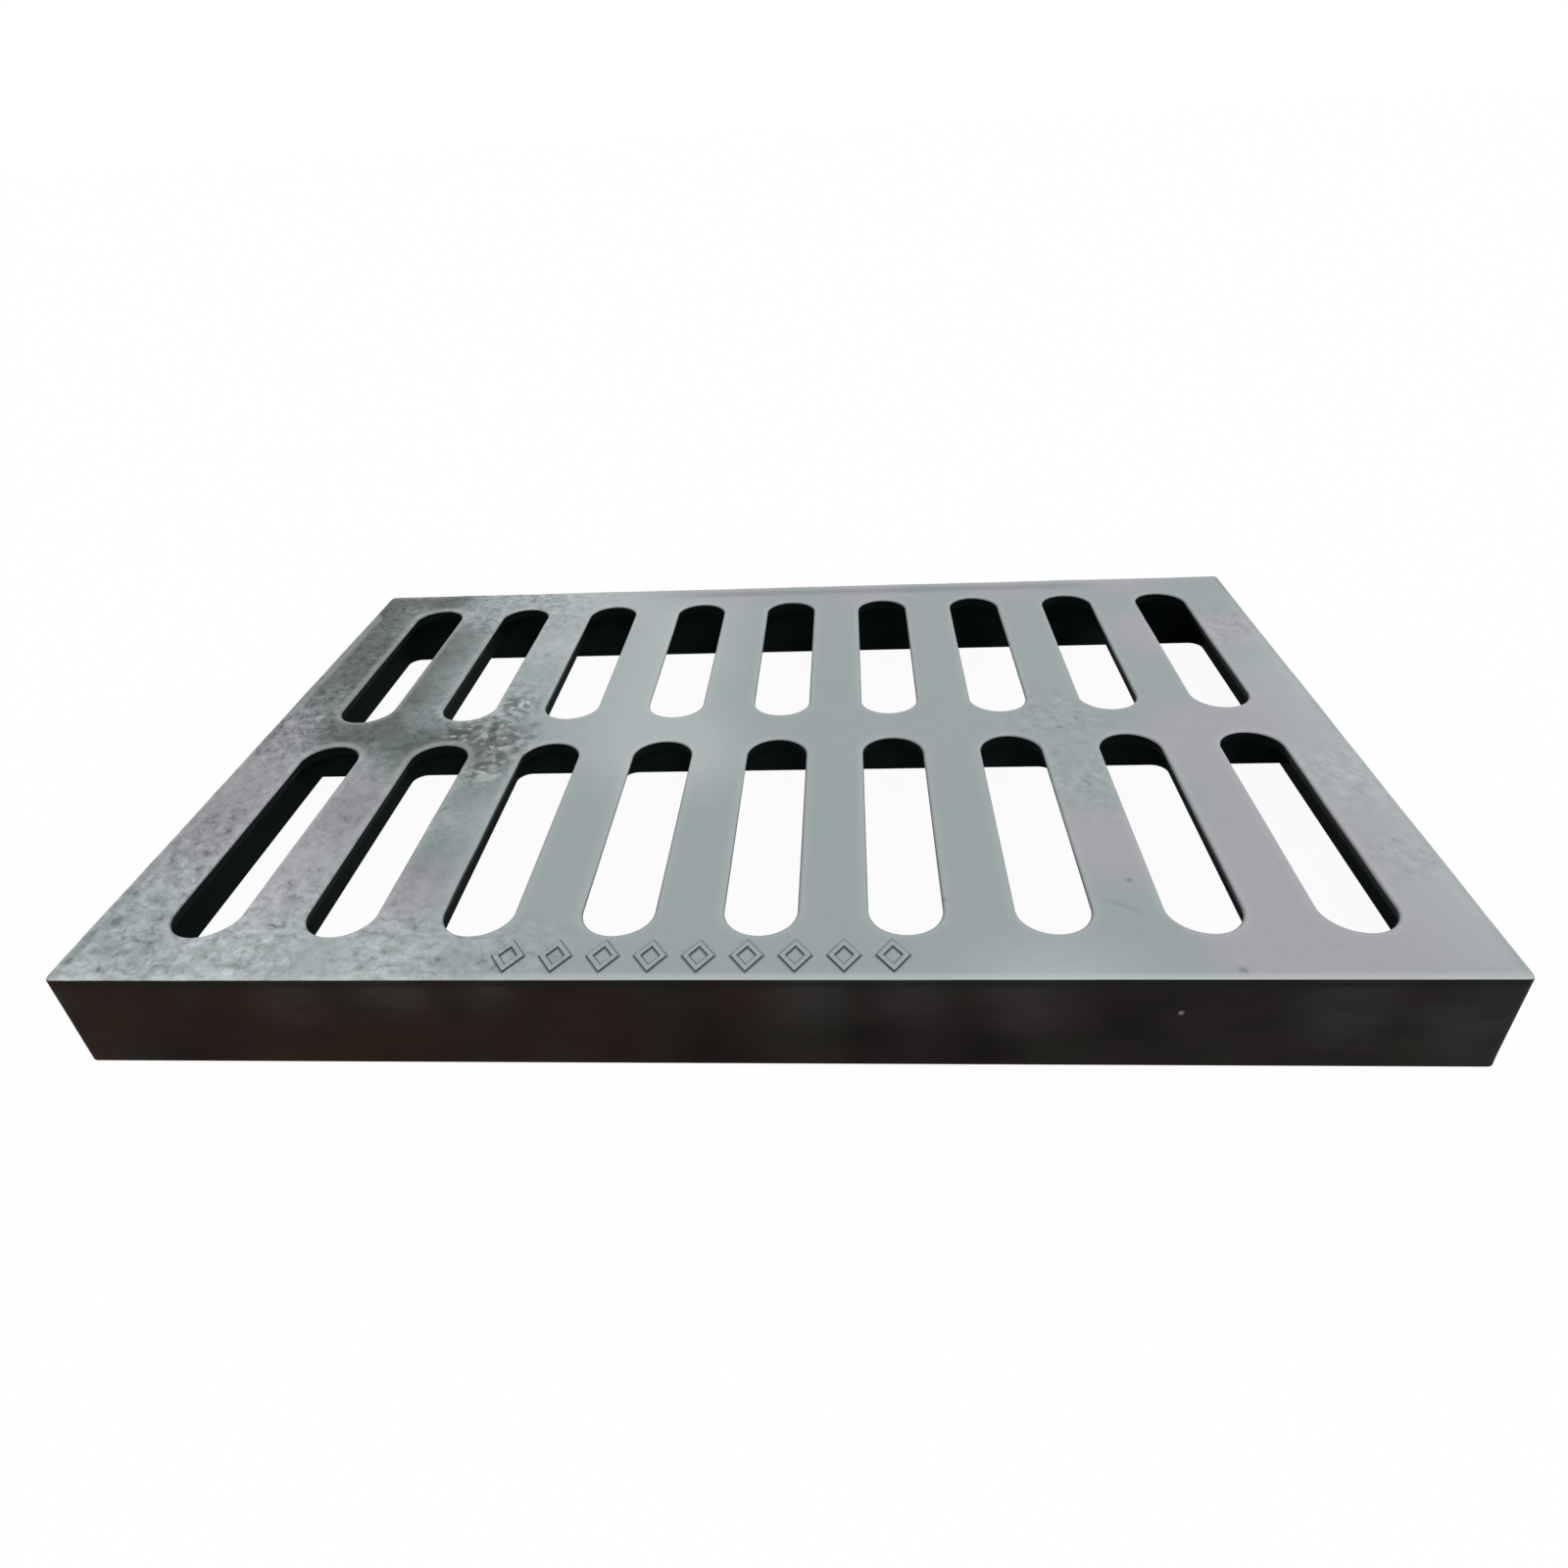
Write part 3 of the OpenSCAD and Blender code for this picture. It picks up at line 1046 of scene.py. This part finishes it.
        # The clouds of the sides are twice as long as they are high
        long = graph.vector("MULTIPLY", {0: self.place, 1: (1, 1, 2)})
        cloud = graph.noise(long, size=26, detail=3) - 0.5
        grey = graph.step(self.x + 260 * (self.mottle - 0.5), -240, 200)
        tint = graph.blend(grey, colours.side_brown, colours.side_grey)
        damp = graph.step(graph.noise(self.place, size=50, detail=2), 0.45, 0.62)
        tint = graph.blend(damp * wear.damp, tint, colours.side_green)
        soot = wear.soot * self.side_spots(SOOTY_PATCHES).smaller(1)
        tint = graph.scaled(tint, 1 + 0.9 * cloud - soot)
        dust = wear.dust * self.side_spots(DUSTY_PATCHES).smaller(1) * (1 + 1.6 * cloud)
        tint = graph.blend(dust.between(0, 1), tint, colours.side_pale)
        # Painted shade: the sides darken in a band just below the top edge
        painted_edge_shade = graph.band(self.z, self.top - 3.2, reach=2.2, core=0.4)
        tint = graph.blend(painted_edge_shade * wear.painted_edge_shade, tint, colours.wall)
        return graph.blend(self.side_spots(SIDE_CHIPS), tint, colours.chip)

    def wall_colour(self):
        """The black of the slots and the cells, and the dull iron of what looks down."""
        graph, colours = self.graph, self.colours
        # The mottle is spread about its mean, and more so on the iron
        black = graph.scaled(colours.wall, 0.4 + 1.2 * self.mottle)
        iron = graph.scaled(colours.underside, 0.3 + 1.4 * self.mottle)
        # Below the lips the walls get a little lighter
        deep = graph.step(self.z, self.top - 4, self.top - 12)
        black = graph.scaled(black, 1 + 0.7 * deep)
        return graph.blend(graph.step(self.up, -0.4, -0.85), black, iron)

    def coat(self, tint, roughness, gloss, bump):
        """One coat of the finish."""
        sockets = {"Base Color": tint, "Roughness": roughness, "Specular IOR Level": gloss}
        return self.graph.node("ShaderNodeBsdfPrincipled", {}, {**sockets, "Normal": bump})


def cast_iron(scene):
    """The casting's finish: grey where it is walked on, dark at the sides, black within. The grey
    is partly the walking surface's dust and wear, partly painted sheen of a bright sky.
    """
    material = bpy.data.materials.new("cast_iron")
    graph = Graph(material)
    skin = Skin(graph, scene)
    on_top = skin.on_top()
    # Heights of the relief in millimetres, on the grained skin and all over
    relief = 1.1 * skin.grain_depth.smaller(1.6) * skin.grain * on_top
    fine = 0.035 * graph.noise(skin.place, size=1.5, detail=3)
    bump = graph.node("ShaderNodeBump", sockets={"Distance": MM, "Height": fine + relief})
    uneven = 0.3 * (skin.mottle - 0.5)
    walked_rough = 0.55 + uneven - 0.1 * skin.cluster
    walked = skin.coat(skin.walked_colour(), walked_rough, gloss=0.2, bump=bump)
    side = skin.coat(skin.side_colour(), 0.5 + uneven, gloss=0.03, bump=bump)
    within = skin.coat(skin.wall_colour(), 0.6 + uneven, gloss=0.005, bump=bump)
    # The outer sides end on the seat, short of the rim's inner face
    on_side = graph.step(skin.outside, -3.6, -3.2)
    dark = graph.node("ShaderNodeMixShader", sockets={0: on_side, 1: within, 2: side})
    # Painted sheen, partly dust and wear: the walking surface is grey where the sides and walls are
    # dark
    finish = graph.node("ShaderNodeMixShader", sockets={0: on_top, 1: dark, 2: walked})
    graph.node("ShaderNodeOutputMaterial", sockets={"Surface": finish})
    return material


class StageSettings(bpy.types.PropertyGroup):
    """The camera, the floor and the light."""

    camera_place: position("Camera", "Place of the camera", (0.03984, -0.49317, 0.33808))
    camera_turn: turn("Camera turn", "Turn of the camera", (56.448, 2.739, 2.725))
    camera_lens: FloatProperty(
        name="Lens",
        description="Focal length on a sensor 36 mm wide, in millimetres",
        default=23.3,
        unit="CAMERA",
    )
    floor_reach: length("Floor", "Reach of the floor on either side", 30000)
    floor_shade: share("Floor shade", "How much of its shadow the floor shows", 0.05)
    sky: share("Sky", "Strength of the even light from all round", 0.62)
    lamp_turn: turn("Lamp turn", "Turn of the soft lamp, far off before the right end", (42, 0, 45))
    lamp_spread: angle("Lamp spread", "Angle across the soft lamp", 40)
    lamp_strength: FloatProperty(
        name="Lamp strength", description="Strength of the soft lamp", default=1.6, min=0.0
    )


def seen_directly(graph):
    """1 for rays from the camera, from a gloss or through glass, and 0 for the rest."""
    path = graph.node("ShaderNodeLightPath").socket.node
    camera, glossy, through = (
        Link(graph, path.outputs[name])
        for name in ("Is Camera Ray", "Is Glossy Ray", "Is Transmission Ray")
    )
    return camera.bigger(glossy).bigger(through)


def floor_finish(shade):
    """A pale floor that looks white and keeps a part of the object's shadow."""
    material = bpy.data.materials.new("floor")
    graph = Graph(material)
    pale = graph.node("ShaderNodeBsdfDiffuse", sockets={"Color": (0.95, 0.95, 0.95, 1)})
    white = graph.node("ShaderNodeEmission", sockets={"Strength": 1.0})
    mask = seen_directly(graph) * (1 - shade)
    finish = graph.node("ShaderNodeMixShader", sockets={0: mask, 1: pale, 2: white})
    graph.node("ShaderNodeOutputMaterial", sockets={"Surface": finish})
    return material


def add_floor(stage):
    """A wide plane at the height that the grate stands on."""
    deselect()
    bpy.ops.mesh.primitive_plane_add(size=2 * stage.floor_reach, location=(0, 0, GRATE_LOW.z))
    floor = bpy.context.object
    floor.name = "floor"
    apply_place(floor)
    floor.data.materials.append(floor_finish(stage.floor_shade))


def add_sky(strength):
    """Even light from all round, which looks plain white itself."""
    world = bpy.data.worlds.new("sky")
    graph = Graph(world)
    even, white = (
        graph.node("ShaderNodeBackground", {}, {"Color": (1, 1, 1, 1), "Strength": level})
        for level in (strength, 1)
    )
    mask = seen_directly(graph)
    light = graph.node("ShaderNodeMixShader", sockets={0: mask, 1: even, 2: white})
    graph.node("ShaderNodeOutputWorld", sockets={"Surface": light})
    bpy.context.scene.world = world


def add_lamp(stage):
    """A broad soft lamp, far off."""
    bpy.ops.object.light_add(type="SUN", rotation=stage.lamp_turn)
    lamp = bpy.context.object
    lamp.name = "lamp"
    lamp.data.angle = stage.lamp_spread
    lamp.data.energy = stage.lamp_strength


def add_camera(stage):
    """The camera, where the picture was taken from."""
    bpy.ops.object.camera_add(location=stage.camera_place, rotation=stage.camera_turn)
    camera = bpy.context.object
    camera.name = "camera"
    camera.data.lens = stage.camera_lens
    camera.data.sensor_width = 36
    camera.data.clip_start = MM
    camera.data.clip_end = 4 * stage.floor_reach
    bpy.context.scene.camera = camera


def find_casting():
    """The casting, which has to be there before it gets its marks and its skin."""
    casting = bpy.data.objects.get(CASTING)
    if casting is None:
        raise RuntimeError("cast the grate first")
    return casting


class GRATE_OT_casting(bpy.types.Operator):
    """Model the slotted casting, which takes the place of the frame's plain solid"""

    bl_idname = "grate.casting"
    bl_label = "Cast the grate"

    def execute(self, context):
        scene = context.scene
        casting = model_casting(scene.grate_sizes, scene.grate_skin)
        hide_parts("grate")
        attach(casting, "root")
        return {"FINISHED"}


class GRATE_OT_marks(bpy.types.Operator):
    """Join the row of raised lozenges onto the walking surface"""

    bl_idname = "grate.marks"
    bl_label = "Raise the marks"

    def execute(self, context):
        scene = context.scene
        casting = find_casting()
        combine(casting, model_marks(scene.grate_sizes, scene.grate_marks), "UNION")
        check_closed(casting)
        return {"FINISHED"}


class GRATE_OT_skin(bpy.types.Operator):
    """Roughen the casting's skin and give it its finish"""

    bl_idname = "grate.skin"
    bl_label = "Finish the skin"

    def execute(self, context):
        scene = context.scene
        casting = find_casting()
        roughen(casting, scene.grate_sizes, scene.grate_skin)
        check_closed(casting)
        casting.data.materials.clear()
        casting.data.materials.append(cast_iron(scene))
        return {"FINISHED"}


class GRATE_OT_stage(bpy.types.Operator):
    """Set up the floor, the light and the camera"""

    bl_idname = "grate.stage"
    bl_label = "Set the stage"

    def execute(self, context):
        stage = context.scene.grate_stage
        add_floor(stage)
        add_sky(stage.sky)
        add_lamp(stage)
        add_camera(stage)
        context.scene.view_settings.view_transform = "Standard"
        return {"FINISHED"}


class GRATE_PT_sidebar(bpy.types.Panel):
    """The steps of the grate's making, in their order"""

    bl_idname = "GRATE_PT_sidebar"
    bl_label = "Drain grate"
    bl_space_type = "VIEW_3D"
    bl_region_type = "UI"
    bl_category = "Drain grate"

    def draw(self, context):
        for step in STEPS:
            self.layout.operator(step.bl_idname)


SETTINGS = {
    "grate_sizes": GrateSizes,
    "grate_marks": MarkSizes,
    "grate_skin": SkinSizes,
    "grate_colours": GrateColours,
    "grate_wear": GrateWearAndLight,
    "grate_stage": StageSettings,
}
STEPS = (GRATE_OT_casting, GRATE_OT_marks, GRATE_OT_skin, GRATE_OT_stage)
CLASSES = (*SETTINGS.values(), *STEPS, GRATE_PT_sidebar)


def register():
    """Adds the settings, the operators and the panel."""
    for item in CLASSES:
        bpy.utils.register_class(item)
    for name, group in SETTINGS.items():
        setattr(bpy.types.Scene, name, PointerProperty(type=group))


def unregister():
    """Takes them away again."""
    for name in SETTINGS:
        delattr(bpy.types.Scene, name)
    for item in reversed(CLASSES):
        bpy.utils.unregister_class(item)


def main():
    """Makes the grate and its stage."""
    register()
    bpy.ops.grate.casting()
    bpy.ops.grate.marks()
    bpy.ops.grate.skin()
    bpy.ops.grate.stage()


if __name__ == "__main__":
    main()
